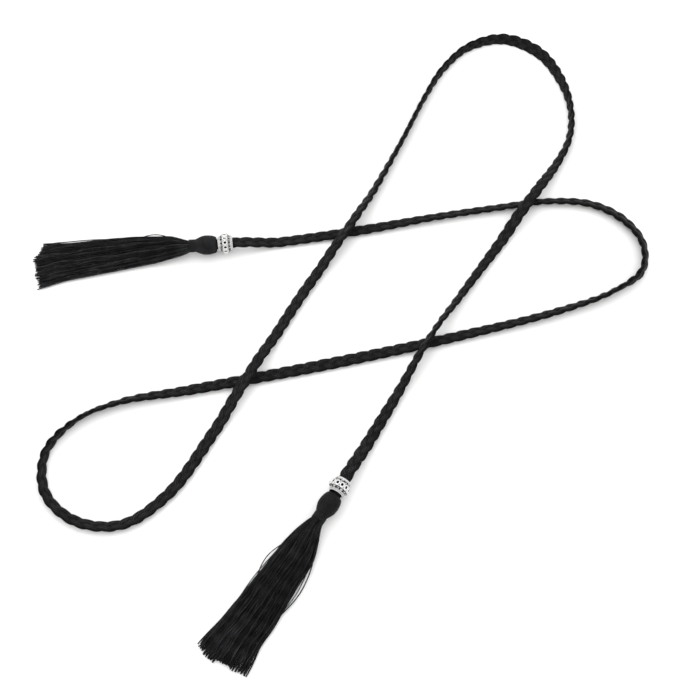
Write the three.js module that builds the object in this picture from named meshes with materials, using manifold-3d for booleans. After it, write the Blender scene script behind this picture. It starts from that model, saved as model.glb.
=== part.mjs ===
// A braided tie belt, laid on a table in three open loops that cross four times.
// The flat braid runs at each end through an openwork bead into the head of a tassel.
// Millimetres, +Z up: the table is z = 0 and the origin lies under the middle of the belt.
import * as THREE from 'three';
import { mergeVertices } from 'three/addons/utils/BufferGeometryUtils.js';
import Module from 'manifold-3d';

// The braid: three flattened strands that swing from edge to edge and pass over each other.
const STRANDS = 3;
const EDGE_PITCH = 7.5;
const STRAND_SWING = 1.35;
const STRAND_RISE = 0.7;
const STRAND_HALF_WIDTH = 1.95;
const STRAND_HALF_THICKNESS = 0.95;
const BRAID_HALF_WIDTH = STRAND_SWING + STRAND_HALF_WIDTH;
const BRAID_HALF_THICKNESS = 1.6;
const BRAID_CORE = 1.1;
const BRAID_SIDES = 8;

// The line of the braid from the left tassel's head to the lower one's.
// Columns: x, y, roll of the flat braid about its own line in degrees.
const ROUTE = [
  [-79.5, 46.4, 0],
  [-64, 47.8, 0],
  [-35, 51.5, -2],
  [13.5, 60, -6],
  [52.5, 68, -26],
  [92, 75, -28],
  [126, 80, -30],
  [151, 78, -28],
  [168.5, 68, -34],
  [179.5, 51, -52],
  [177.5, 30.5, -80],
  [159.5, 16.5, -116],
  [126.5, 3.5, -142],
  [68.5, -12.5, -166],
  [-9, -31, -178],
  [-87.5, -47.5, -166],
  [-126.5, -55.5, -131],
  [-149, -66.5, -110],
  [-164, -85.5, -76],
  [-162, -109.5, -42],
  [-144, -125.5, -24],
  [-119, -127.5, -20],
  [-95.5, -110.5, -11],
  [-71.5, -72.5, -6],
  [-24, 15, -16],
  [6.5, 64.5, -36],
  [34, 119, -70],
  [52.5, 160, -83],
  [64.5, 182, -98],
  [81.5, 200, -109],
  [105, 207, -125],
  [127, 196.5, -142],
  [139.5, 175, -131],
  [144.5, 150, -107],
  [141.5, 126, -118],
  [127.5, 99.5, -152],
  [99.5, 58, -178],
  [54, -9.5, -120],
  [25.5, -59.5, -157],
  [-6.5, -116, -165],
];

// Where the braid passes over itself. Columns: distance along it, height that it is lifted.
const CROSSINGS = [
  [849, 3.8],
  [963, 3.8],
  [1306, 4.8],
  [1422, 3.8],
];
const HUMP_TOP = 9;
const HUMP_FOOT = 35;
const ROUTE_DIVISIONS = 4000;
const HEADING_STEP = 1;

// Near each end the braid runs straight at the bead's height, then falls to the table.
const END_STRAIGHT = 15;
const END_FALL = 28;

// The beads: a barrel of openwork, whose middle belt stands out between two shoulders.
// Columns: place along the bore, outer radius, inner radius, the bars' share of the round,
// and whether the band up to the next row is pierced between the bars.
const BEAD_RADIUS = 6.4;
const BEAD_BARS = 13;
const BEAD_ROWS = [
  [-4.5, 4.05, 3.65, 0.5, false],
  [-3.5, 4.65, 3.7, 0.5, true],
  [-2.4, 5.3, 4.3, 0.5, false],
  [-1.4, 6.1, 5.1, 0.68, true],
  [0, BEAD_RADIUS, 5.4, 0.36, true],
  [1.4, 6.1, 5.1, 0.68, false],
  [2.4, 5.3, 4.3, 0.5, true],
  [3.5, 4.65, 3.7, 0.5, false],
  [4.5, 4.05, 3.65, 0.5, false],
];
const BEAD_END = BEAD_ROWS.at(-1)[0];

// The tassels: a round head over the braid's knotted end, a bound neck and a skirt of locks.
// Columns of the head's outline: place along from its middle, radius.
const HEAD_FRONT = 5.2;
const HEAD_OUTLINE = [
  [-HEAD_FRONT, 4.2],
  [-4.3, 4.8],
  [-2.7, 5.4],
  [-0.8, 5.7],
  [1.4, 5.75],
  [3.2, 5.45],
  [5, 4.8],
];
const SOCKET_RADIUS = 3.65;
const SOCKET_DEPTH = 4.2;
const NECK_START = 7;
const NECK_LENGTH = 5;
const NECK_RADIUS = 3;
const NECK_ROOT = 4;
const NECK_POINT = 7;
const LATHE_SIDES = 14;
const LOCKS = 9;
const GROOVE_SHARE = 0.3;
const UNDERSIDE_FLATTENING = 1.25;
const TIP_THICKNESS = 0.4;

// The neck ties: turns of thread, side by side, in the neck, with a gap to either end of it.
const TIE_TURNS = 4;
const TIE_CREST = 3.9;
const TIE_VALLEY = 3.6;
const TIE_GAP = 0.3;

// The two ends. The bead sits at beadX, beadY and its bore points along beadHeading.
// Skirt columns: distance from the head's middle, right edge, left edge, and the heights of
// the underside, the two edges and the top. The last row is where the locks' tips end: there
// the distance is that of the notches between them, and lockTips gives each lock's own end.
const ENDS = [
  {
    name: 'left',
    beadX: -70.5, beadY: 47.3, beadHeading: 186.5,
    headGap: 0.65, headHeading: 184, skirtHeading: 188,
    skirt: [
      [12, -4.8, 3.6, 2.4, 6.4, 10.2],
      [16, -6.4, 4.7, 1.7, 5.4, 10.1],
      [21, -9.6, 5, 1.1, 4.4, 9.7],
      [31, -12.3, 5.9, 0.2, 2.8, 8.9],
      [44, -14.5, 6.8, 0, 1.8, 7.9],
      [62, -15.6, 8.1, 0, 1.5, 6.7],
      [84, -16.2, 9.9, 0, 1.2, 5.4],
      [98, -17.1, 12.5, 0, 0.8, 4],
    ],
    lockTips: [99.5, 101, 102.5, 104.5, 103.5, 104, 103.5, 104, 102.5],
  },
  {
    name: 'lower',
    beadX: -1.6, beadY: -107.5, beadHeading: 240,
    headGap: 1.5, headHeading: 236, skirtHeading: 237.3,
    skirt: [
      [12, -4.5, 3.8, 2.4, 6.4, 10.2],
      [16, -6.1, 5, 1.7, 5.4, 10.1],
      [21, -7.8, 7, 1.1, 4.4, 9.7],
      [31, -9.9, 9.7, 0.2, 2.8, 8.9],
      [44, -11.3, 10.9, 0, 1.8, 7.9],
      [62, -12.7, 11.4, 0, 1.5, 6.7],
      [80, -13.8, 11.8, 0, 1.2, 5.4],
      [94.5, -16, 13.3, 0, 0.8, 4],
    ],
    lockTips: [101, 99.5, 102, 100.5, 99, 101, 99.5, 98, 98.5],
  },
];

const BLACK_BRAID = { color: 0x1b1b1d, roughness: 0.55, metalness: 0 };
const BLACK_THREAD = { color: 0x191a1c, roughness: 0.6, metalness: 0 };
const TIE_THREAD = { color: 0x222326, roughness: 0.5, metalness: 0 };
const SILVER = { color: 0xc9c9c7, roughness: 0.28, metalness: 1 };

const wasm = await Module();
wasm.setup();

const belt = new THREE.Group();
for (const end of ENDS) {
  belt.add(endGroup(end));
}
belt.add(namedMesh('braided_cord', braidedCord(), BLACK_BRAID));

// One end: its group lies at the bead's middle and points along the bore to the tassel.
function endGroup(end) {
  const atBead = new THREE.Group();
  atBead.position.set(end.beadX, end.beadY, BEAD_RADIUS);
  atBead.rotation.z = THREE.MathUtils.degToRad(end.beadHeading);
  atBead.add(namedMesh(`bead_${end.name}`, openworkBead(), SILVER));

  const atHead = new THREE.Group();
  atHead.position.x = BEAD_END + end.headGap + HEAD_FRONT;
  atHead.rotation.z = THREE.MathUtils.degToRad(end.skirtHeading - end.beadHeading);
  const headTurn = THREE.MathUtils.degToRad(end.headHeading - end.skirtHeading);
  atHead.add(namedMesh(`tassel_${end.name}`, tassel(end, headTurn), BLACK_THREAD));
  const tie = namedMesh(`neck_tie_${end.name}`, neckTie(), TIE_THREAD);
  tie.rotation.z = headTurn;
  atHead.add(tie);
  atBead.add(atHead);
  return atBead;
}

// The braid as one solid, with a section at every bump of either edge.
function braidedCord() {
  const line = braidLine();
  const stations = Math.round(line.length / (EDGE_PITCH / 2));
  const rings = [];
  for (let station = 0; station <= stations; station += 1) {
    const frame = line.frameAt(line.length * station / stations);
    const phase = Math.PI / 2 + station * Math.PI / STRANDS;
    rings.push(braidSection(phase).map((corner) => {
      const point = frame.middle.clone();
      point.addScaledVector(frame.across, corner.x).addScaledVector(frame.over, corner.y);
      point.z = Math.max(point.z, 0);
      return point;
    }));
  }
  return sweptBody(rings);
}

// Corners of the braid's section, the outline of its three strands seen from its middle.
function braidSection(phase) {
  const middles = [];
  for (let strand = 0; strand < STRANDS; strand += 1) {
    const turn = phase + strand * 2 * Math.PI / STRANDS;
    middles.push([STRAND_SWING * Math.sin(turn), STRAND_RISE * Math.sin(2 * turn)]);
  }
  const corners = [];
  for (let side = 0; side < BRAID_SIDES; side += 1) {
    const angle = side * 2 * Math.PI / BRAID_SIDES;
    const ray = new THREE.Vector2(
      BRAID_HALF_WIDTH * Math.cos(angle),
      BRAID_HALF_THICKNESS * Math.sin(angle),
    ).normalize();
    const reaches = middles.map(([x, y]) => strandReach(ray, x, y));
    corners.push(ray.multiplyScalar(Math.max(BRAID_CORE, ...reaches)));
  }
  return corners;
}

// Distance at which a ray from the braid's middle leaves the oval strand at x, y.
function strandReach(ray, x, y) {
  const rayX = ray.x / STRAND_HALF_WIDTH;
  const rayY = ray.y / STRAND_HALF_THICKNESS;
  const strandX = x / STRAND_HALF_WIDTH;
  const strandY = y / STRAND_HALF_THICKNESS;
  const square = rayX * rayX + rayY * rayY;
  const along = rayX * strandX + rayY * strandY;
  const inside = along * along - square * (strandX * strandX + strandY * strandY - 1);
  return inside < 0 ? 0 : (along + Math.sqrt(inside)) / square;
}

// The braid's middle line in space, with the directions across and over the flat braid.
function braidLine() {
  const plan = new THREE.CatmullRomCurve3(ROUTE.map(([x, y]) => new THREE.Vector3(x, y, 0)));
  plan.arcLengthDivisions = ROUTE_DIVISIONS;
  const length = plan.getLength();

  const rollAt = (distance) => {
    const place = plan.getUtoTmapping(distance / length) * (ROUTE.length - 1);
    const row = Math.min(Math.floor(place), ROUTE.length - 2);
    const roll = THREE.MathUtils.lerp(ROUTE[row][2], ROUTE[row + 1][2], place - row);
    return THREE.MathUtils.degToRad(roll);
  };

  const pointAt = (distance) => {
    const point = plan.getPointAt(distance / length);
    const roll = rollAt(distance);
    const resting = Math.hypot(
      BRAID_HALF_WIDTH * Math.sin(roll),
      BRAID_HALF_THICKNESS * Math.cos(roll),
    );
    const lifts = CROSSINGS.map(([at, lift]) => lift * hump(Math.abs(distance - at)));
    const toEnd = Math.min(distance, length - distance);
    const rise = 1 - THREE.MathUtils.smoothstep(toEnd, END_STRAIGHT, END_STRAIGHT + END_FALL);
    point.z = THREE.MathUtils.lerp(resting + Math.max(...lifts), BEAD_RADIUS, rise);
    return point;
  };

  const frameAt = (distance) => {
    const ahead = pointAt(Math.min(distance + HEADING_STEP, length));
    const forward = ahead.sub(pointAt(Math.max(distance - HEADING_STEP, 0))).normalize();
    const left = new THREE.Vector3(-forward.y, forward.x, 0).normalize();
    const up = new THREE.Vector3().crossVectors(forward, left);
    const roll = rollAt(distance);
    return {
      middle: pointAt(distance),
      across: left.clone().multiplyScalar(Math.cos(roll)).addScaledVector(up, Math.sin(roll)),
      over: up.clone().multiplyScalar(Math.cos(roll)).addScaledVector(left, -Math.sin(roll)),
    };
  };

  return { length, frameAt };
}

// Height of a crossing's long low hump, from 1 on its flat top to 0 at its foot.
function hump(distance) {
  return 1 - THREE.MathUtils.smoothstep(distance, HUMP_TOP, HUMP_FOOT);
}

// A bead: the barrel's wall, as a grid of bars and spaces round the bore. A space in a pierced
// band is left out of both faces of the wall, and its four sides are closed through the wall.
function openworkBead() {
  const columns = 2 * BEAD_BARS;
  const positions = [];
  for (const [along, outer, inner, share] of BEAD_ROWS) {
    for (const radius of [outer, inner]) {
      for (let column = 0; column < columns; column += 1) {
        const edge = column % 2 === 0 ? -share / 2 : share / 2;
        const angle = (Math.floor(column / 2) + edge) * 2 * Math.PI / BEAD_BARS;
        positions.push(along, radius * Math.cos(angle), radius * Math.sin(angle));
      }
    }
  }
  const out = (row, column) => 2 * row * columns + column % columns;
  const inn = (row, column) => out(row, column) + columns;
  const isPierced = (row) => row >= 0 && BEAD_ROWS[row][4];
  const index = [];
  const quad = (a, b, c, d) => index.push(a, b, c, a, c, d);
  const faceAhead = (row, column) =>
    quad(inn(row, column), out(row, column), out(row, column + 1), inn(row, column + 1));
  const faceBack = (row, column) =>
    quad(inn(row, column + 1), out(row, column + 1), out(row, column), inn(row, column));

  const lastRow = BEAD_ROWS.length - 1;
  for (let column = 0; column < columns; column += 1) {
    const next = column + 1;
    faceBack(0, column);
    faceAhead(lastRow, column);
    for (let row = 0; row < lastRow; row += 1) {
      const ahead = row + 1;
      if (!isPierced(row) || column % 2 === 0) {
        quad(out(row, column), out(row, next), out(ahead, next), out(ahead, column));
        quad(inn(row, column), inn(ahead, column), inn(ahead, next), inn(row, next));
        continue;
      }
      quad(inn(row, column), inn(ahead, column), out(ahead, column), out(row, column));
      quad(out(row, next), out(ahead, next), inn(ahead, next), inn(row, next));
      if (!isPierced(row - 1)) {
        faceAhead(row, column);
      }
      if (!isPierced(ahead)) {
        faceBack(ahead, column);
      }
    }
  }
  return indexedGeometry(positions, index);
}

// A tassel: head and neck turned on one axis, with the skirt of locks fused to the neck.
function tassel(end, headTurn) {
  const socketFloor = SOCKET_DEPTH - HEAD_FRONT;
  const neckEnd = NECK_START + NECK_LENGTH;
  const head = latheAlongX([
    [socketFloor, 0],
    [socketFloor, SOCKET_RADIUS],
    [-HEAD_FRONT, SOCKET_RADIUS],
    ...HEAD_OUTLINE,
    [NECK_START, TIE_CREST],
    [NECK_START, NECK_RADIUS],
    [neckEnd + NECK_ROOT, NECK_RADIUS],
    [neckEnd + NECK_POINT, 0],
  ], LATHE_SIDES, false);
  head.rotateZ(headTurn);
  return geometryOf(solidOf(head).add(solidOf(skirt(end))));
}

// The skirt: locks side by side, joined along the grooves and parted at their tips.
function skirt({ skirt: rows, lockTips }) {
  const lockRings = rows.slice(0, -1).map((row) => lockRing(row, lockTips.map(() => row[0]), 1));
  lockRings.push(lockRing(rows.at(-1), lockTips, TIP_THICKNESS));
  return sweptBody(lockRings);
}

// One section through all the locks: from the right edge along the underside, which lies flat,
// to the left edge, and back over the top with a ridge for each lock and grooves between them.
function lockRing([along, right, left, under, edge, top], ridgesAlong, thickness) {
  const above = [];
  const below = [];
  for (let place = 1; place < 2 * LOCKS; place += 1) {
    const spread = place / LOCKS - 1;
    const across = THREE.MathUtils.lerp(right, left, place / (2 * LOCKS));
    const arch = Math.sqrt(1 - spread * spread) * thickness;
    const isRidge = place % 2 === 1;
    const groove = isRidge ? 0 : GROOVE_SHARE * arch * (top - under);
    const distance = isRidge ? ridgesAlong[(place - 1) / 2] : along;
    const roof = edge + arch * (top - edge) - groove;
    const floor = Math.max(under, edge - UNDERSIDE_FLATTENING * arch * (edge - under));
    above.push(new THREE.Vector3(distance, across, roof - BEAD_RADIUS));
    below.push(new THREE.Vector3(distance, across, floor - BEAD_RADIUS));
  }
  return [
    new THREE.Vector3(along, right, edge - BEAD_RADIUS),
    ...below,
    new THREE.Vector3(along, left, edge - BEAD_RADIUS),
    ...above.reverse(),
  ];
}

// A neck tie: a ring whose outside rises and falls with each turn of thread.
function neckTie() {
  const start = NECK_START + TIE_GAP;
  const turnWidth = (NECK_LENGTH - 2 * TIE_GAP) / TIE_TURNS;
  const bore = NECK_RADIUS + TIE_GAP;
  const profile = [[start, bore], [start, TIE_VALLEY]];
  for (let turn = 0; turn < TIE_TURNS; turn += 1) {
    profile.push([start + (turn + 0.5) * turnWidth, TIE_CREST]);
    profile.push([start + (turn + 1) * turnWidth, TIE_VALLEY]);
  }
  profile.push([start + TIE_TURNS * turnWidth, bore]);
  return latheAlongX(profile, LATHE_SIDES, true);
}

// A body turned about the X axis. Profile columns: place along X, radius.
function latheAlongX(profile, sides, isRing) {
  const outline = profile.map(([along, radius]) => new THREE.Vector2(radius, along));
  if (isRing) {
    outline.push(outline[0].clone());
  }
  const geometry = new THREE.LatheGeometry(outline, sides);
  geometry.rotateZ(-Math.PI / 2);
  return geometry;
}

// A closed body swept through rings of points. Each end is closed by a strip of triangles
// between the two halves of its ring, which starts at one edge and turns back at the other.
function sweptBody(rings) {
  const sides = rings[0].length;
  const positions = rings.flat().flatMap((point) => point.toArray());
  const index = [];
  for (let ring = 0; ring < rings.length - 1; ring += 1) {
    for (let side = 0; side < sides; side += 1) {
      const next = (side + 1) % sides;
      const here = ring * sides;
      const ahead = here + sides;
      index.push(here + side, here + next, ahead + next);
      index.push(here + side, ahead + next, ahead + side);
    }
  }
  const lastRing = (rings.length - 1) * sides;
  for (let side = 0; side < sides / 2; side += 1) {
    const opposite = sides - side - 1;
    const before = (opposite + 1) % sides;
    if (side + 1 !== opposite) {
      index.push(side, opposite, side + 1);
      index.push(lastRing + side, lastRing + side + 1, lastRing + opposite);
    }
    if (side !== before) {
      index.push(side, before, opposite);
      index.push(lastRing + side, lastRing + opposite, lastRing + before);
    }
  }
  return indexedGeometry(positions, index);
}

function indexedGeometry(positions, index) {
  const geometry = new THREE.BufferGeometry();
  geometry.setAttribute('position', new THREE.Float32BufferAttribute(positions, 3));
  geometry.setIndex(index);
  return geometry;
}

function solidOf(geometry) {
  const bare = geometry.clone();
  bare.deleteAttribute('normal');
  bare.deleteAttribute('uv');
  const merged = mergeVertices(bare);
  return new wasm.Manifold(new wasm.Mesh({
    numProp: 3,
    vertProperties: new Float32Array(merged.attributes.position.array),
    triVerts: new Uint32Array(merged.index.array),
  }));
}

function geometryOf(solid) {
  const mesh = solid.getMesh();
  return indexedGeometry([...mesh.vertProperties], [...mesh.triVerts]);
}

function namedMesh(name, geometry, finish) {
  geometry.computeVertexNormals();
  const mesh = new THREE.Mesh(geometry, new THREE.MeshStandardMaterial(finish));
  mesh.name = name;
  return mesh;
}

export default belt;
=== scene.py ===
import math
import random
import bpy
import numpy as np
from mathutils import Matrix


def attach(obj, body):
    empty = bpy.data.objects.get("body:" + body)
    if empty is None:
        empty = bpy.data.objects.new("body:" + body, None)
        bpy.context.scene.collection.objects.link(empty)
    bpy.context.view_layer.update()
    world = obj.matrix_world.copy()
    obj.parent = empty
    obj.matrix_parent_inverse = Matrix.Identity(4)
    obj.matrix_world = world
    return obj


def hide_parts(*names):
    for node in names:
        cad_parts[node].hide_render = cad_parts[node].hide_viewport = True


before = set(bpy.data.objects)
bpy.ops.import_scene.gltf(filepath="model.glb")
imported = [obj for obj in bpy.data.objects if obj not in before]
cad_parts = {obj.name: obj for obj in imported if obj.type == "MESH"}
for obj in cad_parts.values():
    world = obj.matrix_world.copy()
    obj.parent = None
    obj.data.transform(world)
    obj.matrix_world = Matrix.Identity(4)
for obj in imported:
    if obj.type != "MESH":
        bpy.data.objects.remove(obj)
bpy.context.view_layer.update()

# The belt lies on a plain white table. It is seen from well above, from its near side,
# with a long lens.
bpy.ops.object.select_all(action="DESELECT")
bpy.ops.object.camera_add(
    location=(0.004, -0.3524, 0.6504), rotation=(math.radians(27), 0, 0))
camera = bpy.context.object
camera.data.lens = 65
camera.data.sensor_width = 36
camera.data.clip_start = 0.01
bpy.context.scene.camera = camera
bpy.context.scene.view_settings.view_transform = "Standard"

bpy.ops.mesh.primitive_plane_add(size=8)
table = bpy.context.object
table.name = "table"
table_white = bpy.data.materials.new("table white")
table_white.use_nodes = True
table_shader = table_white.node_tree.nodes["Principled BSDF"]
table_shader.inputs["Base Color"].default_value = (0.86, 0.86, 0.86, 1)
table_shader.inputs["Roughness"].default_value = 0.75
table_shader.inputs["Specular IOR Level"].default_value = 0.1
table.data.materials.append(table_white)

# Soft light: one large window-like lamp behind and to the left, and a pale room all round.
bpy.ops.object.light_add(type="AREA", location=(-0.34, 0.44, 1.2))
window_lamp = bpy.context.object
window_lamp.data.shape = "RECTANGLE"
window_lamp.data.size = 1.3
window_lamp.data.size_y = 1
window_lamp.data.energy = 2.7
toward_belt = -window_lamp.location.normalized()
window_lamp.rotation_euler = toward_belt.to_track_quat("-Z", "Y").to_euler()
room = bpy.data.worlds.new("pale room")
room.use_nodes = True
room_light = room.node_tree.nodes["Background"]
room_light.inputs["Color"].default_value = (1, 1, 0.995, 1)
room_light.inputs["Strength"].default_value = 1.44
bpy.context.scene.world = room


# The braided cord: a flat plait of three soft black strands, each a bundle of satiny yarns.
# It is woven in one length, laid in three open loops and lies over itself at four crossings.

# Columns of the line: x, y, roll of the flat plait about its own line in degrees.
CORD_LINE = [
    (-0.0795, 0.0464, 0),
    (-0.064, 0.0478, 0),
    (-0.035, 0.0515, -2),
    (0.0135, 0.06, -6),
    (0.0525, 0.068, -26),
    (0.092, 0.075, -28),
    (0.126, 0.08, -30),
    (0.151, 0.078, -28),
    (0.1685, 0.068, -34),
    (0.1795, 0.051, -52),
    (0.1775, 0.0305, -80),
    (0.1595, 0.0165, -116),
    (0.1265, 0.0035, -142),
    (0.0685, -0.0125, -166),
    (-0.009, -0.031, -178),
    (-0.0875, -0.0475, -166),
    (-0.1265, -0.0555, -131),
    (-0.149, -0.0665, -110),
    (-0.164, -0.0855, -76),
    (-0.162, -0.1095, -42),
    (-0.144, -0.1255, -24),
    (-0.119, -0.1275, -20),
    (-0.0955, -0.1105, -11),
    (-0.0715, -0.0725, -6),
    (-0.024, 0.015, -16),
    (0.0065, 0.0645, -36),
    (0.034, 0.119, -70),
    (0.0525, 0.16, -83),
    (0.0645, 0.182, -98),
    (0.0815, 0.2, -109),
    (0.105, 0.207, -125),
    (0.127, 0.1965, -142),
    (0.1395, 0.175, -131),
    (0.1445, 0.15, -107),
    (0.1415, 0.126, -118),
    (0.1275, 0.0995, -152),
    (0.0995, 0.058, -178),
    (0.054, -0.0095, -120),
    (0.0255, -0.0595, -157),
    (-0.0065, -0.116, -165),
]
# Where the plait passes over itself: distance along it, height that it is lifted.
CROSSINGS = [(0.849, 0.0038), (0.963, 0.0038), (1.306, 0.0048), (1.422, 0.0038)]
# How far a hump's top and foot reach to each side, how far each end runs straight at the height
# of its bead, and over what length it falls to the table.
HUMP_TOP = 0.009
HUMP_FOOT = 0.035
END_STRAIGHT = 0.015
END_FALL = 0.028
BEAD_HEIGHT = 0.0064
PLAIT_WIDTH = 0.0066
PLAIT_THICKNESS = 0.0032
CORD_CLEARANCE = 0.00003
# The bumps of an edge, how far a strand swings to each side, how full it makes the far and the
# near edge, and how far it rises over the next one.
BUMP_PITCH = 0.0075
STRAND_SWING = 0.0018
FAR_EDGE_FULLNESS = -0.15
NEAR_EDGE_FULLNESS = 0.9
STRAND_RISE = 0.00058
STRAND_WIDTH = 0.00376
STRAND_THICKNESS = 0.0021
STRAND_SIDES = 18
STRAND_STEP = 0.0009
YARNS_IN_STRAND = 6
YARN_RELIEF = 0.05
# A strand nears an edge more slowly than it leaves it, so that the bumps lean, and it is
# squeezed thinner in the middle.
STRAND_LEAN = 0.12
STRAND_SQUEEZE = 0.12
# Tones of a strand, painted shade: the darkest, the range above it, and what the painted shade in
# its creases and where it dives takes off.
DARKEST_TONE = 0.02
TONE_RANGE = 1.36
CREASE_SHADE_DEPTH = 0.92
CREASE_SHADE_FOCUS = 2.5
CREASE_SHADE_CONTRAST = 1.5
DIVE_SHADE_MEAN = 0.66
DIVE_SHADE_SWING = 0.34
# The plait is worked looser in some stretches, and is fuller there: distance along it, share
# of its usual fullness.
LOOSENESS = [(0, 1), (0.05, 0.97), (0.12, 0.98), (0.21, 0.9), (0.23, 1.02), (0.255, 1.21),
             (0.3, 1.18), (0.34, 1.05), (0.38, 0.99), (0.5, 1.06), (0.54, 1.06), (0.58, 1.01),
             (0.62, 1.04), (0.7, 0.99), (0.8, 1), (0.85, 0.96), (0.9, 1.01), (0.94, 1.09),
             (1.06, 1.09), (1.12, 0.88), (1.17, 1.03), (1.21, 0.91), (1.29, 1.05), (1.36, 0.94),
             (1.45, 0.98), (1.5, 1.14), (1.54, 1.1)]


def smooth_line(points, steps):
    """A smooth line through the points, and where each place on it lies among them. It is a
    centripetal spline with the given number of steps from each point to the next."""
    rows = np.vstack([2 * points[0] - points[1], points, 2 * points[-1] - points[-2]])
    line = []
    places = []
    for row in range(len(points) - 1):
        a, b, c, d = rows[row:row + 4]
        spans = [math.sqrt(np.linalg.norm(v)) for v in (b - a, c - b, d - c)]
        before = (b - a) / spans[0] - (c - a) / (spans[0] + spans[1])
        after = (d - c) / spans[2] - (d - b) / (spans[1] + spans[2])
        leave = (before + (c - b) / spans[1]) * spans[1]
        arrive = (after + (c - b) / spans[1]) * spans[1]
        t = np.linspace(0, 1, steps, endpoint=False)[:, None]
        bend = -3 * b + 3 * c - 2 * leave - arrive
        line.append(b + leave * t + bend * t**2 + (2 * b - 2 * c + leave + arrive) * t**3)
        places.append(row + t[:, 0])
    line.append(points[-1:])
    places.append([len(points) - 1])
    return np.vstack(line), np.concatenate(places)


def ease(value, start, end):
    """0 before start, 1 after end, and a smooth rise between them."""
    share = np.clip((value - start) / (end - start), 0, 1)
    return share * share * (3 - 2 * share)


def mesh_piece(name, points, faces, uv, tones):
    """A piece from its points and faces, with a UV for each corner and a tone for each point,
    painted light and shade included.
    """
    mesh = bpy.data.meshes.new(name)
    mesh.from_pydata(points.tolist(), [], faces)
    mesh.uv_layers.new(name="along_around")
    mesh.uv_layers["along_around"].data.foreach_set("uv", np.asarray(uv, dtype="f").ravel())
    tone = mesh.attributes.new("thread_tone_and_shade", "FLOAT", "POINT")
    tone.data.foreach_set("value", np.asarray(tones, dtype="f"))
    mesh.shade_smooth()
    piece = bpy.data.objects.new(name, mesh)
    bpy.context.collection.objects.link(piece)
    return piece


def tubes(rings):
    """Faces and UVs of closed tubes from an array of rings: tube, ring, corner, xyz."""
    count, length, sides = rings.shape[:3]
    flat = rings.reshape(-1, 3)
    lengths = np.linalg.norm(np.diff(rings.mean(axis=2), axis=1), axis=2)
    along = np.concatenate([np.zeros((count, 1)), np.cumsum(lengths, axis=1)], axis=1)
    faces = []
    uv = []
    for tube in range(count):
        start = tube * length * sides
        for ring in range(length - 1):
            u0 = along[tube, ring]
            u1 = along[tube, ring + 1]
            here = start + ring * sides
            for side in range(sides):
                following = (side + 1) % sides
                faces.append((here + side, here + following,
                              here + sides + following, here + sides + side))
                v0 = side / sides
                v1 = (side + 1) / sides
                uv += [(u0, v0), (u0, v1), (u1, v1), (u1, v0)]
        last = start + (length - 1) * sides
        faces.append(tuple(range(start + sides - 1, start - 1, -1)))
        faces.append(tuple(range(last, last + sides)))
        uv += [(0, 0)] * sides
        uv += [(along[tube, -1], 0)] * sides
    return flat, faces, uv


plan = np.array(CORD_LINE)
cord_xy, cord_places = smooth_line(plan[:, :2], steps=60)
cord_runs = np.concatenate([[0], np.cumsum(np.linalg.norm(np.diff(cord_xy, axis=0), axis=1))])
cord_rolls = np.radians(np.interp(cord_places, range(len(plan)), plan[:, 2]))
cord_length = cord_runs[-1]


def cord_middle(run):
    """Middle of the plait at each distance along it, and its roll there."""
    roll = np.interp(run, cord_runs, cord_rolls)
    resting = np.hypot(PLAIT_WIDTH / 2 * np.sin(roll), PLAIT_THICKNESS / 2 * np.cos(roll))
    lifts = [lift * (1 - ease(abs(run - at), HUMP_TOP, HUMP_FOOT)) for at, lift in CROSSINGS]
    to_end = np.minimum(run, cord_length - run)
    rise = 1 - ease(to_end, END_STRAIGHT, END_STRAIGHT + END_FALL)
    height = (resting + np.max(lifts, axis=0)) * (1 - rise) + BEAD_HEIGHT * rise
    x = np.interp(run, cord_runs, cord_xy[:, 0])
    y = np.interp(run, cord_runs, cord_xy[:, 1])
    return np.column_stack([x, y, height]), roll


def unit(vectors):
    """The vectors, each at length 1."""
    return vectors / np.linalg.norm(vectors, axis=-1, keepdims=True)


runs = np.linspace(0, cord_length, round(cord_length / STRAND_STEP) + 1)
cord_path, rolls = cord_middle(runs)
heading = unit(np.gradient(cord_path, axis=0))
sideways = unit(np.column_stack([-heading[:, 1], heading[:, 0], np.zeros(len(runs))]))
upward = np.cross(heading, sideways)
turn = rolls[:, None]
across = sideways * np.cos(turn) + upward * np.sin(turn)
over = upward * np.cos(turn) - sideways * np.sin(turn)

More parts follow.
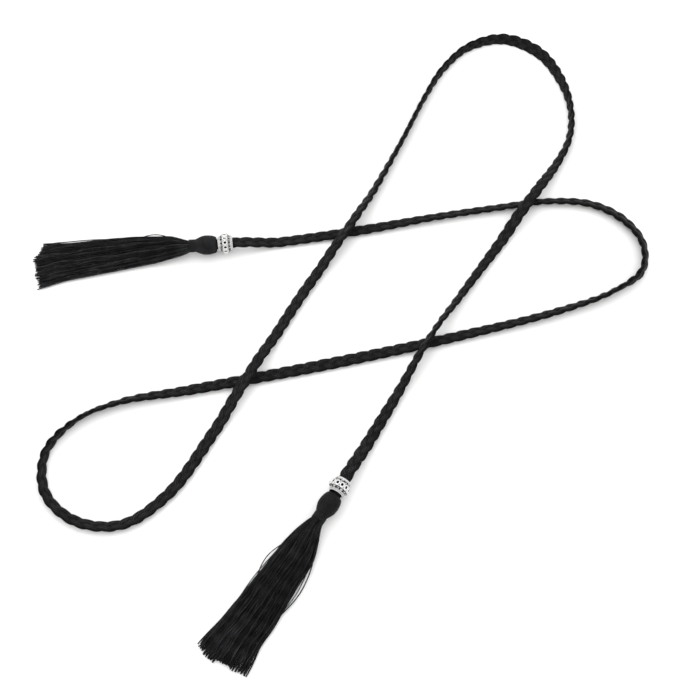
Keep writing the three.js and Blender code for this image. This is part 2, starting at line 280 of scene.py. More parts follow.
corner_angles = np.arange(STRAND_SIDES) * 2 * math.pi / STRAND_SIDES
loose = np.interp(runs, *zip(*LOOSENESS))[:, None]
strand_rings = []
strand_shade_tones = []
for strand in range(3):
    # Each strand swings over and back once in three bumps of an edge, a third after the last.
    swing = math.pi / 2 + runs / (BUMP_PITCH / 2) * math.pi / 3 + strand * 2 * math.pi / 3
    swing += STRAND_LEAN * np.cos(2 * swing)
    # The plait's underside is pressed flat, and its near edge is drawn straighter than the far
    # one wherever it runs sideways.
    lift = STRAND_RISE * np.sin(2 * swing)
    lift = np.where(lift * over[:, 2] < 0, lift * (1 - abs(over[:, 2])), lift)
    beside = np.sin(swing)
    near = (beside * across[:, 1] < 0) * abs(heading[:, 0])
    fullness = FAR_EDGE_FULLNESS + (NEAR_EDGE_FULLNESS - FAR_EDGE_FULLNESS) * near
    side_share = beside * (1 + fullness * (1 - abs(beside)))
    off_middle = across * (STRAND_SWING * side_share)[:, None] + over * lift[:, None]
    middle = cord_path + loose * off_middle
    strand_heading = unit(np.gradient(middle, axis=0))
    thin_way = unit(over - strand_heading * np.sum(over * strand_heading, axis=1)[:, None])
    wide_way = np.cross(thin_way, strand_heading)
    squeeze = 1 - STRAND_SQUEEZE * np.cos(swing)[:, None] ** 2
    yarns = 1 + YARN_RELIEF * np.cos(YARNS_IN_STRAND * corner_angles)
    wide = STRAND_WIDTH / 2 * np.cos(corner_angles) * yarns * loose
    thin = STRAND_THICKNESS / 2 * np.sin(corner_angles) * yarns * squeeze * loose
    strand_rings.append(middle[:, None] + wide_way[:, None] * wide[:, :, None]
                        + thin_way[:, None] * thin[:, :, None])
    # Painted shade: dark in the creases beside each strand and where it dives under the next one.
    crease_shade = 1 - CREASE_SHADE_DEPTH * np.abs(np.cos(corner_angles)) ** CREASE_SHADE_FOCUS
    facing = np.sign(np.sin(corner_angles))[None, :]
    dive_shade = DIVE_SHADE_MEAN + DIVE_SHADE_SWING * np.sin(2 * swing)[:, None] * facing
    strand_shade_tones.append(DARKEST_TONE + TONE_RANGE * crease_shade[None, :] ** CREASE_SHADE_CONTRAST * dive_shade)
strand_rings = np.array(strand_rings)
strand_rings[..., 2] = np.maximum(strand_rings[..., 2], CORD_CLEARANCE)
cord_points, cord_faces, cord_uv = tubes(strand_rings)
# The strands' tones carry the painted shade of their creases and dives.
braided_cord = mesh_piece("black_plait", cord_points, cord_faces, cord_uv,
                          np.ravel(strand_shade_tones))


def add_node(tree, kind, **settings):
    """A new node with its settings made."""
    node = tree.nodes.new(kind)
    for name, value in settings.items():
        setattr(node, name, value)
    return node


def math_node(tree, operation, first, second=0):
    """What a math node makes of two numbers or sockets."""
    node = add_node(tree, "ShaderNodeMath", operation=operation)
    for socket, value in zip(node.inputs, (first, second)):
        if isinstance(value, (int, float)):
            socket.default_value = value
        else:
            tree.links.new(value, socket)
    return node.outputs[0]


def noise_node(tree, place, scale, detail):
    """A noise of that scale at a place."""
    noise = add_node(tree, "ShaderNodeTexNoise")
    noise.inputs["Scale"].default_value = scale
    noise.inputs["Detail"].default_value = detail
    tree.links.new(place, noise.inputs["Vector"])
    return noise.outputs["Fac"]


def bump_shader(tree, shader, height, strength, distance):
    """Gives the shader a bump of that height."""
    bump = add_node(tree, "ShaderNodeBump")
    bump.inputs["Strength"].default_value = strength
    bump.inputs["Distance"].default_value = distance
    tree.links.new(height, bump.inputs["Height"])
    tree.links.new(bump.outputs["Normal"], shader.inputs["Normal"])


# Spun thread as a shader group: fine fibres that run along a thread with a slight twist,
# painted shade in the grooves between them and a lighter tone on their tops, and a few pale
# flecks, painted highlights where a fibre catches the light. Its values: shares of fibre and fuzz
# in the height, how patches and contrast turn that into a tone, where the painted highlights
# begin and how strong and pale they are, and the roughness.
FIBRE_SHARE = 0.7
FUZZ_SHARE = 0.5
PATCH_FLOOR = 0.25
TONE_CONTRAST = 2
TONE_GAIN = 1.3
GLINT_FLOOR = 0.63
GLINT_GAIN = 4
GLINT_COLOUR = (0.06, 0.06, 0.061, 1)
SMOOTHEST = 0.4
FUZZ_ROUGHNESS = 0.3
spun_thread = bpy.data.node_groups.new("spun thread", "ShaderNodeTree")
for socket_name, way, kind in (
        ("Fibres Round", "INPUT", "NodeSocketFloat"),
        ("Twists per Metre", "INPUT", "NodeSocketFloat"),
        ("Groove Shade", "INPUT", "NodeSocketColor"),
        ("Raised", "INPUT", "NodeSocketColor"),
        ("Color", "OUTPUT", "NodeSocketColor"),
        ("Roughness", "OUTPUT", "NodeSocketFloat"),
        ("Height", "OUTPUT", "NodeSocketFloat")):
    spun_thread.interface.new_socket(socket_name, in_out=way, socket_type=kind)
thread_in = add_node(spun_thread, "NodeGroupInput").outputs
thread_out = add_node(spun_thread, "NodeGroupOutput").inputs
thread_uv = add_node(spun_thread, "ShaderNodeUVMap", uv_map="along_around").outputs["UV"]
uv_split = add_node(spun_thread, "ShaderNodeSeparateXYZ")
spun_thread.links.new(thread_uv, uv_split.inputs[0])
lay = math_node(spun_thread, "MULTIPLY", uv_split.outputs["X"], thread_in["Twists per Metre"])
round_place = math_node(spun_thread, "ADD", uv_split.outputs["Y"], lay)
fibre_turn = math_node(spun_thread, "MULTIPLY", round_place, thread_in["Fibres Round"])
fibre_wave = math_node(
    spun_thread, "SINE", math_node(spun_thread, "MULTIPLY", fibre_turn, 2 * math.pi))
fibre_ridge = math_node(
    spun_thread, "ADD", math_node(spun_thread, "MULTIPLY", fibre_wave, 0.5), 0.5)
thread_place = add_node(spun_thread, "ShaderNodeTexCoord").outputs["Object"]
fuzz = noise_node(spun_thread, thread_place, scale=1400, detail=3)
patches = noise_node(spun_thread, thread_place, scale=160, detail=2)
fibre_height = math_node(
    spun_thread, "ADD", math_node(spun_thread, "MULTIPLY", fibre_ridge, FIBRE_SHARE),
    math_node(spun_thread, "MULTIPLY", fuzz, FUZZ_SHARE))
tone_share = math_node(
    spun_thread, "MULTIPLY", fibre_height,
    math_node(spun_thread, "ADD", patches, PATCH_FLOOR))
tone_curve = math_node(spun_thread, "POWER", tone_share, TONE_CONTRAST)
thread_colour = add_node(spun_thread, "ShaderNodeMix", data_type="RGBA")
spun_thread.links.new(
    math_node(spun_thread, "MULTIPLY", tone_curve, TONE_GAIN), thread_colour.inputs["Factor"])
spun_thread.links.new(thread_in["Groove Shade"], thread_colour.inputs["A"])
spun_thread.links.new(thread_in["Raised"], thread_colour.inputs["B"])
# Painted highlights: pale flecks where a fibre catches the light.
glint_noise = noise_node(spun_thread, thread_place, scale=1700, detail=1)
above_floor = math_node(
    spun_thread, "MAXIMUM", math_node(spun_thread, "SUBTRACT", glint_noise, GLINT_FLOOR))
glint_share = math_node(spun_thread, "MULTIPLY", above_floor, GLINT_GAIN)
glinted = add_node(spun_thread, "ShaderNodeMix", data_type="RGBA")
spun_thread.links.new(glint_share, glinted.inputs["Factor"])
spun_thread.links.new(thread_colour.outputs["Result"], glinted.inputs["A"])
glinted.inputs["B"].default_value = GLINT_COLOUR
thread_rough = math_node(
    spun_thread, "ADD", math_node(spun_thread, "MULTIPLY", fuzz, FUZZ_ROUGHNESS), SMOOTHEST)
spun_thread.links.new(glinted.outputs["Result"], thread_out["Color"])
spun_thread.links.new(thread_rough, thread_out["Roughness"])
spun_thread.links.new(fibre_height, thread_out["Height"])


def thread_material(name, groove_shade, raised, fibres, twists, relief):
    """A satiny black thread material, lighter or darker by each point's tone, painted shade
    included.
    """
    material = bpy.data.materials.new(name)
    material.use_nodes = True
    tree = material.node_tree
    shader = tree.nodes["Principled BSDF"]
    shader.inputs["Specular IOR Level"].default_value = 0.07
    shader.inputs["Sheen Weight"].default_value = 0.015
    shader.inputs["Sheen Roughness"].default_value = 0.45
    shader.inputs["Sheen Tint"].default_value = (0.8, 0.84, 0.9, 1)
    thread = add_node(tree, "ShaderNodeGroup", node_tree=spun_thread)
    thread.inputs["Fibres Round"].default_value = fibres
    thread.inputs["Twists per Metre"].default_value = twists
    thread.inputs["Groove Shade"].default_value = groove_shade
    thread.inputs["Raised"].default_value = raised
    tone = add_node(tree, "ShaderNodeAttribute", attribute_name="thread_tone_and_shade")
    toned = add_node(tree, "ShaderNodeVectorMath", operation="SCALE")
    tree.links.new(thread.outputs["Color"], toned.inputs[0])
    tree.links.new(tone.outputs["Fac"], toned.inputs["Scale"])
    tree.links.new(toned.outputs["Vector"], shader.inputs["Base Color"])
    tree.links.new(thread.outputs["Roughness"], shader.inputs["Roughness"])
    bump_shader(tree, shader, thread.outputs["Height"], strength=0.6, distance=relief)
    return material


plait_black = thread_material(
    "satin plait black", groove_shade=(0.0014, 0.0014, 0.0014, 1), raised=(0.0208, 0.0208, 0.0208, 1),
    fibres=9, twists=45, relief=0.0004)
braided_cord.data.materials.append(plait_black)
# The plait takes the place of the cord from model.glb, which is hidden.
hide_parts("braided_cord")
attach(braided_cord, "root")


# The end beads: barrels of antiqued silver openwork that the plait runs through. Round windows
# ring the raised middle, and each shoulder is pierced with slits and edged with a rolled rim.
# Each is cast in one piece, its wires and grains standing proud of a ground darkened by patina and
# by painted shade.

# Columns: node, x, y, heading of the bore in degrees, turn about the bore in windows.
BEADS = [
    ("bead_left", -0.0705, 0.0473, 186.5, 0.48),
    ("bead_lower", -0.0016, -0.1075, 240, 0.9),
]
WINDOWS = 13
WINDOW_RING_MIDDLE = 0.0059
WINDOW_RING_STRETCH = 1.22
# How far the ring's ends are pressed in, beyond each height from its middle.
WINDOW_RING_PRESSES = ((0.0006, 0.0001), (0.0009, 0.00014), (0.0013, 0.00016))
# Half the width of the open middle, the ends of the slits, and how far from the middle of a
# bar they start, in windows.
OPEN_MIDDLE = 0.0018
SLIT_START = 0.0023
SLIT_END = 0.0031
SLIT_SIDE = 0.3
# The wall from its middle to one end: place along the bore, radius.
BEAD_HALF = [(OPEN_MIDDLE, 0.0053), (SLIT_START, 0.005), (SLIT_END, 0.00445), (0.0037, 0.0041),
             (0.0041, 0.0038)]
BEAD_OUTLINE = [(-place, radius) for place, radius in reversed(BEAD_HALF)] + BEAD_HALF
WALL_STEPS = 6
# The wire rail and the rolled rim of a shoulder: place along the bore, radius, wire's radius.
RAILS = ((0.00322, 0.00444, 0.00026), (0.00402, 0.0039, 0.00036))
# Reach of the proudest wires, by the distance from the bead's middle, and depth of the hollows.
BEAD_ENVELOPE = [(0, 0.0063), (0.0012, 0.0061), (0.0018, 0.0057), (0.0023, 0.0053),
                 (0.0027, 0.0052), (0.0031, 0.0048), (0.0038, 0.0045), (0.0043, 0.0041)]
HOLLOW_DEPTH = 0.0008
# Antiqued silver: the dark of the hollows, patina and painted shade, the grey beside them and the
# bright of the wires.
SILVER_STOPS = [(0.28, (0.01, 0.01, 0.011, 1)), (0.52, (0.19, 0.19, 0.195, 1)),
                (0.75, (0.66, 0.66, 0.655, 1))]
TARNISH_MIDDLE = 0.52
SILVER_ROUGHEST = 0.5
SILVER_POLISH = 0.28


def add_applied(add, **settings):
    """A new primitive, alone selected, with its place and turn applied to its mesh."""
    bpy.ops.object.select_all(action="DESELECT")
    add(**settings)
    bpy.ops.object.transform_apply(location=True, rotation=True, scale=True)
    return bpy.context.object


def select_faces(piece, chosen):
    """Selects the faces that are chosen by their middle, in object mode."""
    for kind in (piece.data.vertices, piece.data.edges):
        kind.foreach_set("select", [False] * len(kind))
    for face in piece.data.polygons:
        face.select = chosen(face.center)


def around(point):
    """Turn of a point about the bore, counted in windows."""
    return math.atan2(point[1], point[0]) / (2 * math.pi) * WINDOWS


def copies_around(pattern, count, offset=0.0, flips=(1,)):
    """Copies of a piece, each with its own mesh, at equal turns about the bore."""
    made = []
    for flip in flips:
        for number in range(count):
            copy = bpy.data.objects.new(pattern.name, pattern.data.copy())
            bpy.context.collection.objects.link(copy)
            turn_about = Matrix.Rotation((number + offset) * 2 * math.pi / count, 4, "Z")
            copy.data.transform(turn_about @ Matrix.Rotation(math.pi if flip < 0 else 0, 4, "X"))
            made.append(copy)
    bpy.data.objects.remove(pattern)
    return made


# The wall: one ring drawn out along the bore, with slits cut in the shoulders and the middle
# opened behind the windows.
bead = add_applied(
    bpy.ops.mesh.primitive_circle_add, vertices=WINDOWS * WALL_STEPS, radius=BEAD_OUTLINE[0][1],
    location=(0, 0, BEAD_OUTLINE[0][0]), rotation=(0, 0, math.pi / 2))
bead.name = "silver_bead_left"
bpy.ops.object.mode_set(mode="EDIT")
for (low, inside), (high, outside) in zip(BEAD_OUTLINE, BEAD_OUTLINE[1:]):
    bpy.ops.mesh.extrude_region_move(TRANSFORM_OT_translate={"value": (0, 0, high - low)})
    wider = outside / inside
    bpy.ops.transform.resize(value=(wider, wider, 1), center_override=(0, 0, high))
bpy.ops.mesh.select_all(action="SELECT")
bpy.ops.mesh.normals_make_consistent(inside=False)
bpy.ops.object.mode_set(mode="OBJECT")
select_faces(bead, lambda middle: (
    abs(middle[2]) < OPEN_MIDDLE
    or (SLIT_START < abs(middle[2]) < SLIT_END and abs(around(middle) % 1 - 0.5) > SLIT_SIDE)))
bpy.ops.object.mode_set(mode="EDIT")
bpy.ops.mesh.delete(type="FACE")
bpy.ops.object.mode_set(mode="OBJECT")
wall = bead.modifiers.new("wall", "SOLIDIFY")
wall.thickness = 0.0007
wall.offset = -1
softened = bead.modifiers.new("softened edges", "BEVEL")
softened.width = 0.00013
softened.segments = 2
bpy.ops.object.modifier_apply(modifier="wall")
bpy.ops.object.modifier_apply(modifier="softened edges")
bead_parts = [bead]

# The windows: one thick wire ring, drawn out along the bore with its ends pressed in, and its
# grains, copied round the middle.
window_ring = add_applied(
    bpy.ops.mesh.primitive_torus_add, location=(WINDOW_RING_MIDDLE, 0, 0),
    rotation=(0, math.pi / 2, 0), major_radius=0.00107, minor_radius=0.00042,
    major_segments=24, minor_segments=10)
bpy.ops.object.mode_set(mode="EDIT")
bpy.ops.mesh.select_all(action="SELECT")
bpy.ops.transform.resize(value=(1, 1, WINDOW_RING_STRETCH), center_override=(0, 0, 0))
for beyond, pressed in WINDOW_RING_PRESSES:
    bpy.ops.object.mode_set(mode="OBJECT")
    for kind in (window_ring.data.polygons, window_ring.data.edges):
        kind.foreach_set("select", [False] * len(kind))
    for point in window_ring.data.vertices:
        point.select = abs(point.co.z) > beyond
    bpy.ops.object.mode_set(mode="EDIT")
    bpy.ops.transform.translate(value=(-pressed, 0, 0))
bpy.ops.object.mode_set(mode="OBJECT")
bead_parts += copies_around(window_ring, WINDOWS)
window_grain = add_applied(
    bpy.ops.mesh.primitive_ico_sphere_add, subdivisions=2, radius=0.00042,
    location=(0.00562, 0, 0.00142))
bead_parts += copies_around(window_grain, WINDOWS, offset=0.5, flips=(1, -1))

# The shoulders: a wire rail beside the windows, a row of grains, two to a window, and the
# rolled end rim.
shoulder_grain = add_applied(
    bpy.ops.mesh.primitive_ico_sphere_add, subdivisions=2, radius=0.0003,
    location=(0.0042, 0, 0.0036))
bead_parts += copies_around(shoulder_grain, WINDOWS * 2, flips=(1, -1))
for rail_place, rail_radius, rail_wire in RAILS:
    for side in (-1, 1):
        bead_parts.append(add_applied(
            bpy.ops.mesh.primitive_torus_add, location=(0, 0, side * rail_place),
            major_radius=rail_radius, minor_radius=rail_wire, major_segments=84,
            minor_segments=8))
bpy.ops.object.select_all(action="DESELECT")
for part in bead_parts:
    part.select_set(True)
bpy.context.view_layer.objects.active = bead
bpy.ops.object.join()
bpy.ops.object.shade_smooth_by_angle(angle=math.radians(40))

# How far each point stands proud of the ground, for the dark of patina and painted shade in the
# hollows.
proud = bead.data.attributes.new("proud", "FLOAT", "POINT")
for point, value in zip(bead.data.vertices, proud.data):
    reach = np.interp(abs(point.co.z), *zip(*BEAD_ENVELOPE))
    hollow = (reach - math.hypot(point.co.x, point.co.y)) / HOLLOW_DEPTH
    value.value = 1 - min(1, max(0, hollow))

antique_silver = bpy.data.materials.new("antique silver")
antique_silver.use_nodes = True
silver_tree = antique_silver.node_tree
silver_shader = silver_tree.nodes["Principled BSDF"]
silver_shader.inputs["Metallic"].default_value = 1
stands_proud = add_node(silver_tree, "ShaderNodeAttribute", attribute_name="proud")
silver_place = add_node(silver_tree, "ShaderNodeTexCoord").outputs["Object"]
tarnish = noise_node(silver_tree, silver_place, scale=900, detail=4)
wear_and_shade = math_node(
    silver_tree, "ADD", stands_proud.outputs["Fac"],
    math_node(silver_tree, "SUBTRACT", tarnish, TARNISH_MIDDLE))
silver_tone = add_node(silver_tree, "ShaderNodeValToRGB")
silver_ramp = silver_tone.color_ramp.elements
silver_ramp.remove(silver_ramp[1])
silver_ramp[0].position, silver_ramp[0].color = SILVER_STOPS[0]
for position, colour in SILVER_STOPS[1:]:
    silver_ramp.new(position).color = colour
silver_tree.links.new(wear_and_shade, silver_tone.inputs["Fac"])
silver_tree.links.new(silver_tone.outputs["Color"], silver_shader.inputs["Base Color"])
silver_rough = math_node(
    silver_tree, "SUBTRACT", SILVER_ROUGHEST,
    math_node(silver_tree, "MULTIPLY", wear_and_shade, SILVER_POLISH))
silver_tree.links.new(silver_rough, silver_shader.inputs["Roughness"])
bump_shader(silver_tree, silver_shader, tarnish, strength=0.25, distance=0.0001)
bead.data.materials.append(antique_silver)

bead_lower = bpy.data.objects.new("silver_bead_lower", bead.data.copy())
bpy.context.collection.objects.link(bead_lower)
for piece, (node, x, y, bore_heading, window_turn) in zip((bead, bead_lower), BEADS):
    piece.data.transform(
        Matrix.Translation((x, y, BEAD_HEIGHT))
        @ Matrix.Rotation(math.radians(bore_heading), 4, "Z")
        @ Matrix.Rotation(math.pi / 2, 4, "Y")
        @ Matrix.Rotation(window_turn * 2 * math.pi / WINDOWS, 4, "Z"))
    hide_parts(node)
    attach(piece, "root")


# The tassels: each has a round head, a knot covered lengthwise by satiny threads that meet in
# the neck, and a skirt of some three hundred black threads combed into a fan and cut off
# unevenly. The threads are laid loose over the knot, bound at the neck and left hanging.

# Columns of skirt, in millimetres from the head's middle: distance along, right edge, left edge,
# heights of the underside, the edges and the top. Its ends: how far it reaches, at nine places
# from the right edge to the left one. Columns of strays, threads that leave an edge: side, start,
# end, how far out, thickness. head_along: metres from the bead's middle to the head's.
TASSELS = [
    {
        "node": "tassel_left", "painted_light_level": 1.25,
        "head_along": 0.01035, "head_heading": 184, "skirt_heading": 188,
        "skirt": [
            (6.2, -3.4, 2.5, 3.5, 6.4, 9.3),
            (10.3, -3.7, 2.3, 3.4, 6.4, 9.4),
            (11.7, -4.4, 3.0, 2.8, 6.4, 9.9),
            (14, -5.7, 4.0, 2.2, 6.0, 10.1),
            (17, -7.6, 4.6, 1.6, 5.2, 10.0),
            (21, -9.8, 5.1, 1.1, 4.4, 9.7),
            (31, -12.2, 6.2, 0.2, 2.8, 8.9),
            (44, -14.5, 6.9, 0, 1.8, 7.9),
            (62, -15.7, 8.4, 0, 1.5, 6.7),
            (82, -16.1, 9.9, 0, 1.2, 5.4),
            (91, -17.2, 10.9, 0, 1.0, 4.4),
            (98, -17.6, 12.2, 0, 0.9, 3.2),
            (112, -18.4, 15, 0, 0.8, 2.6),
        ],
        "ends": [98, 99.5, 101.5, 104, 102.5, 103, 102.5, 103, 102.5],
        "strays": [(-1, 23, 39, 1.9, 0.6), (-1, 60, 98, 1.3, 0.65), (1, 84, 118, 0.8, 0.7),
                   (-1, 86, 118, 0.9, 0.65)],
    },
    {
        "node": "tassel_lower", "painted_light_level": 0.77,
        "head_along": 0.0112, "head_heading": 236, "skirt_heading": 237.3,
        "skirt": [
            (6.2, -3.1, 2.8, 3.5, 6.4, 9.3),
            (10.3, -3.2, 2.8, 3.4, 6.4, 9.4),
            (11.7, -4.1, 3.5, 2.8, 6.4, 9.9),
            (14, -5.2, 4.1, 2.2, 6.0, 10.1),
            (17, -6.4, 5.3, 1.6, 5.2, 10.0),
            (21, -7.8, 7.0, 1.1, 4.4, 9.7),
            (31, -9.9, 10.2, 0.2, 2.8, 8.9),
            (44, -10.9, 10.6, 0, 1.8, 7.9),
            (60, -12.3, 11.4, 0, 1.5, 6.7),
            (71, -13.1, 12.3, 0, 1.4, 6.1),
            (82, -14.1, 12.0, 0, 1.2, 5.2),
            (94, -15.9, 13.3, 0, 0.9, 3.2),
            (108, -17.6, 14.4, 0, 0.8, 2.6),
        ],
        "ends": [98.5, 99.5, 101.5, 101, 100.5, 100.5, 99.5, 99, 99],
        "strays": [(-1, 32, 52, 2.3, 0.55), (-1, 36, 66, 0.9, 0.5), (1, 31, 64, 3.0, 0.65),
                   (1, 37, 62, 1.5, 0.5), (1, 82, 112, 0.9, 0.65), (-1, 80, 112, 0.5, 0.65)],
    },
]
# Metres in a millimetre, and metres that the lowest threads stay above the table.
MM = 0.001
SKIRT_CLEARANCE = 0.00002
# The skirt's threads, in millimetres: they stand in columns and layers, and the places across
# it go from -1 to 1, those of its nine ends too.
END_PLACES = np.linspace(-0.9, 0.9, 9)
SKIRT_COLUMNS = 38
SKIRT_LAYERS = 9
THREAD_WIDTH = 0.66
THREAD_SIDES = 6
THREAD_RINGS = 44
NECK_START = 7
UNDERSIDE_ROUND = 1.25
# Ranges that each thread's size, its place in its layer and its place across are drawn from.
THREAD_SIZES = (0.86, 1.1)
LAYER_PLACES = (0.25, 0.75)
COLUMN_SHIFT = 0.8
OUTERMOST_START = 0.995
OUTERMOST = 0.998
# The threads end in fine locks, drawn together over their last stretch, each of its own length.
LOCKS = 19
LOCK_ENDS = (-1.5, 1)
THREAD_ENDS = (-1.9, 1)
LOCK_LENGTH = 9
LOCK_PULL = 0.45
# A thread wanders in one long wave or a part of one, and sways in short ones. The uppermost
# threads dip among those beside them. Rise: where a wave sets in and where it is full.
WANDER = 0.14
WANDER_TURNS = (2, 8)
WANDER_RISE = (14, 40)
SWAYS = (0.006, 0.045)
SWAY_LENGTHS = (2, 4.2)
SWAY_RISE = (14, 30)
DIP = 0.25
DIP_LENGTHS = (8, 16)
DIPPING_LAYERS = 2
# Rings of points stand closer together near the neck, where the threads bend more.
RING_CROWDING = 1.25
STRAY_CROWDING = 1.1
# A stray runs on past its bulge, just inside the skirt's edge, to its end at the most.
STRAY_TAIL = 14
STRAY_PAST_END = 0.5
STRAY_SPREAD = 0.985
STRAY_LAYER = 0.2
# The head's outline in millimetres: place along from its middle, radius.
HEAD_OUTLINE = [(-1, 0), (-1, 3.5), (-3.4, 3.52), (-5, 3.6), (-5.22, 3.9), (-5.15, 4.25),
                (-4.75, 4.65), (-4, 5.0), (-3, 5.35), (-1.9, 5.58), (-0.8, 5.73), (0.4, 5.8),
                (1.5, 5.78), (2.6, 5.64), (3.6, 5.38), (4.6, 5.0), (5.6, 4.55), (6.5, 4.17),
                (7.3, 3.8), (8, 3.2), (13, 2.9), (14, 0)]
HEAD_THREADS = 54
HEAD_SIDES = 216
HEAD_RIDGE = 0.07
# The radius from which the head has ridges, and the one at which they have their full height.
RIDGES_FROM = 3.7
RIDGES_FULL = 6
TASSEL_FIBRES = 4
# Tones of the threads and the head, before each tassel's painted light level, which paints the
# left tassel lighter and the lower one darker.
DARKEST_THREAD = 0.38
THREAD_TONE_RANGE = 2.2
HEAD_TONE = 0.92
comb = random.Random(8)


def skirt_place(table_rows, along, spread, layer, radius):
    """Place in the skirt of a thread's middle: spread runs from edge to edge, layer upwards."""
    right, left, under, edge, top = (np.interp(along, table_rows[:, 0], table_rows[:, column])
                                     for column in range(1, 6))
    arch = np.sqrt(np.maximum(0, 1 - spread * spread))
    roof = edge + arch * (top - edge) - radius
    floor = np.maximum(under, edge - UNDERSIDE_ROUND * arch * (edge - under)) + radius
    roof = np.maximum(roof, floor)
    middle = (right + left) / 2
    half = (left - right) / 2 - radius
    return np.stack([along, middle + half * spread,
                     floor + (roof - floor) * (layer + 1) / 2], axis=-1)


def thread_rings(middles, radii):
    """Rings of points round each thread's middle line, flat across its ends."""
    headings = unit(np.gradient(middles, axis=1))
    aside = unit(np.cross(headings, (0.0, 0.0, 1.0)))
    above = np.cross(aside, headings)
    angles = np.arange(THREAD_SIDES) * 2 * math.pi / THREAD_SIDES
    reach = radii[:, None, None, None]
    return (middles[:, :, None] + aside[:, :, None] * (reach * np.cos(angles)[:, None])
            + above[:, :, None] * (reach * np.sin(angles)[:, None]))


def wave(turns):
    """A wave that starts anywhere."""
    return np.sin(turns + comb.uniform(0, 6))


def tassel_threads(tassel):
    """Middle lines and radii of all the skirt's threads, in its own frame, in millimetres."""
    rows = smooth_line(np.array(tassel["skirt"], dtype=float), steps=12)[0]
    steps = np.linspace(0, 1, THREAD_RINGS)
    lock_ends = [comb.uniform(*LOCK_ENDS) for _ in range(LOCKS)]
    middles = []
    radii = []
    for column in range(SKIRT_COLUMNS):
        spread = -1 + (2 * column + 1) / SKIRT_COLUMNS
        stack = round(SKIRT_LAYERS * math.sqrt(1 - spread * spread)) + 1
        for number in range(stack):
            radius = THREAD_WIDTH / 2 * comb.uniform(*THREAD_SIZES)
            layer = -1 + 2 * (number + comb.uniform(*LAYER_PLACES)) / stack
            if number == stack - 1:
                layer = 1
            place = spread + comb.uniform(-COLUMN_SHIFT, COLUMN_SHIFT) / SKIRT_COLUMNS
            place = min(OUTERMOST_START, max(-OUTERMOST_START, place))
            end = np.interp(place, END_PLACES, tassel["ends"])
            end += lock_ends[int((place + 1) / 2 * LOCKS)] + comb.uniform(*THREAD_ENDS)
            along = NECK_START + (end - NECK_START) * steps ** RING_CROWDING
            wander = (comb.uniform(-WANDER, WANDER) * wave(steps * comb.uniform(*WANDER_TURNS))
                      * ease(along, *WANDER_RISE))
            sway = (comb.uniform(*SWAYS) * wave(along / comb.uniform(*SWAY_LENGTHS))
                    * ease(along, *SWAY_RISE))
            spreads = np.clip(place + wander + sway, -OUTERMOST, OUTERMOST)
            off_lock = ((spreads + 1) / 2 * LOCKS % 1 - 0.5) * 2 / LOCKS
            spreads = spreads - off_lock * LOCK_PULL * ease(along, end - LOCK_LENGTH, end)
            dip = DIP * comb.random() * (1 + wave(along / comb.uniform(*DIP_LENGTHS)))
            depth = layer - dip * (number >= stack - DIPPING_LAYERS)
            middles.append(skirt_place(rows, along, spreads, depth, radius))
            radii.append(radius)
    for side, start, finish, out, width in tassel["strays"]:
        skirt_end = tassel["ends"][0 if side < 0 else -1]
        tip = min(finish + STRAY_TAIL, skirt_end + STRAY_PAST_END)
        along = NECK_START + (tip - NECK_START) * steps ** STRAY_CROWDING
        spreads = np.full(THREAD_RINGS, side * STRAY_SPREAD)
        line = skirt_place(rows, along, spreads, STRAY_LAYER, width / 2)
        bulge = np.sin(np.clip((along - start) / (finish - start), 0, 1) * math.pi)
        line[:, 1] += side * out * bulge
        middles.append(line)
        radii.append(width / 2)
    return np.array(middles), np.array(radii)


def head_rings():
    """The head's surface, with a low ridge for each thread laid over it, in millimetres."""
    angles = np.arange(HEAD_SIDES) * 2 * math.pi / HEAD_SIDES
    rings = []
    for along, radius in HEAD_OUTLINE:
        ridge = min(1, radius / RIDGES_FULL) * np.abs(np.sin(HEAD_THREADS / 2 * angles))
        ring = radius + (HEAD_RIDGE * ridge - HEAD_RIDGE if radius > RIDGES_FROM else 0)
        rings.append(np.column_stack([
            np.full(HEAD_SIDES, along), ring * np.cos(angles), ring * np.sin(angles)]))
    return np.array([rings])


def placed(points, angle, x, y, lift=0.0):
    """Points in millimetres turned about Z and moved, in metres."""
    cos = math.cos(math.radians(angle))
    sin = math.sin(math.radians(angle))
    turned = np.stack([points[..., 0] * cos - points[..., 1] * sin,
                       points[..., 0] * sin + points[..., 1] * cos,
                       points[..., 2] + lift], axis=-1)
    return turned * MM + np.array([x, y, 0])


tassel_black = thread_material(
    "tassel thread black", groove_shade=(0.0013, 0.0013, 0.0015, 1), raised=(0.021, 0.0215, 0.0232, 1),
    fibres=TASSEL_FIBRES, twists=30, relief=0.0001)

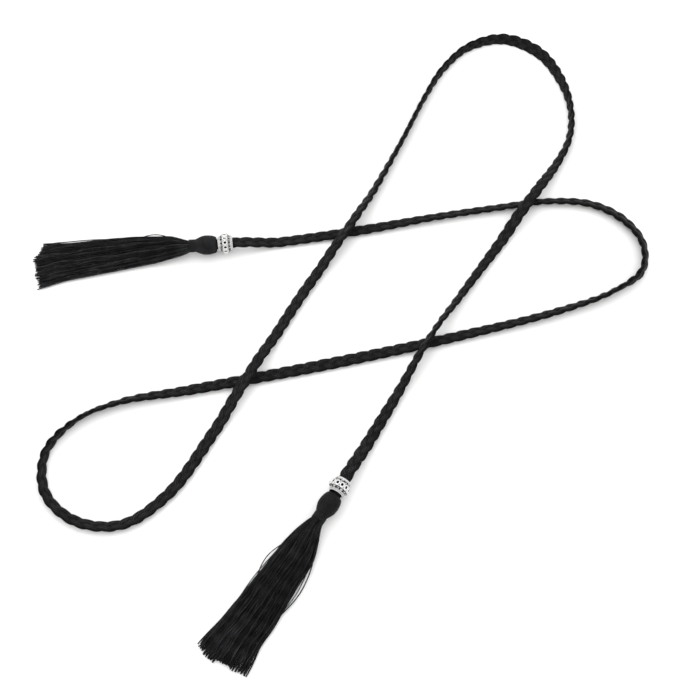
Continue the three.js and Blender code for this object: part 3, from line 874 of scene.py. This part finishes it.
for tassel, (_, bead_x, bead_y, bore_heading, _) in zip(TASSELS, BEADS):
    bore = math.radians(bore_heading)
    head_x = bead_x + tassel["head_along"] * math.cos(bore)
    head_y = bead_y + tassel["head_along"] * math.sin(bore)
    tassel["head_place"] = (head_x, head_y)
    middles, radii = tassel_threads(tassel)
    skirt_rings = placed(thread_rings(middles, radii), tassel["skirt_heading"], head_x, head_y)
    skirt_rings[..., 2] = np.maximum(skirt_rings[..., 2], SKIRT_CLEARANCE)
    skirt_points, skirt_faces, skirt_uv = tubes(skirt_rings)
    head = placed(head_rings(), tassel["head_heading"], head_x, head_y, BEAD_HEIGHT / MM)
    head_points, head_faces, head_uv = tubes(head)
    first = len(skirt_points)
    faces = skirt_faces + [tuple(corner + first for corner in face) for face in head_faces]
    # Painted light: all of a tassel's threads and its head are lightened or darkened by its
    # painted light level.
    thread_tones = [DARKEST_THREAD + THREAD_TONE_RANGE * comb.random() ** 2 for _ in radii]
    tones = np.concatenate([np.repeat(thread_tones, THREAD_RINGS * THREAD_SIDES),
                            np.full(len(head_points), HEAD_TONE)]) * tassel["painted_light_level"]
    head_uv = [(u, v * HEAD_THREADS / TASSEL_FIBRES) for u, v in head_uv]
    piece = mesh_piece(tassel["node"].replace("tassel", "black_tassel"),
                       np.vstack([skirt_points, head_points]), faces,
                       skirt_uv + head_uv, tones)
    piece.data.materials.append(tassel_black)
    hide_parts(tassel["node"])
    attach(piece, "root")


# The neck ties: a fine dark thread wound tightly round each neck, turn beside turn, to bind
# the tassel's threads under the head. It is in millimetres here, as the tassel is.
TIE_TURNS = 4
TIE_START = 7.6
TIE_END = 11.3
TIE_RADIUS = 3.5
TIE_THREAD = 0.8
TIE_FLATNESS = 1.5
TIE_STEPS = 44
TIE_SIDES = 8
tie_black = thread_material(
    "tie thread black", groove_shade=(0.0018, 0.0018, 0.002, 1), raised=(0.02, 0.02, 0.021, 1),
    fibres=7, twists=900, relief=0.00008)
tie_turns = np.linspace(0, TIE_TURNS, TIE_TURNS * TIE_STEPS + 1)
for tassel in TASSELS:
    wound = tie_turns * 2 * math.pi
    places = TIE_START + (TIE_END - TIE_START) * tie_turns / TIE_TURNS
    tie_middle = np.stack([places, TIE_RADIUS * np.cos(wound), TIE_RADIUS * np.sin(wound)], -1)
    tie_heading = unit(np.gradient(tie_middle, axis=0))
    outward = np.stack([0 * wound, np.cos(wound), np.sin(wound)], -1)
    beside = np.cross(tie_heading, outward)
    tie_angles = np.arange(TIE_SIDES) * 2 * math.pi / TIE_SIDES
    tie_rings = (tie_middle[:, None]
                 + outward[:, None] * (TIE_THREAD / 2 * np.cos(tie_angles)[:, None])
                 + beside[:, None] * (TIE_FLATNESS * TIE_THREAD / 2 * np.sin(tie_angles)[:, None]))
    tie_place = placed(tie_rings[None], tassel["head_heading"], *tassel["head_place"],
                       BEAD_HEIGHT / MM)
    tie_points, tie_faces, tie_uv = tubes(tie_place)
    piece = mesh_piece(tassel["node"].replace("tassel", "neck_winding"),
                       tie_points, tie_faces, tie_uv, np.ones(len(tie_points)))
    piece.data.materials.append(tie_black)
    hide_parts(tassel["node"].replace("tassel", "neck_tie"))
    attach(piece, "root")
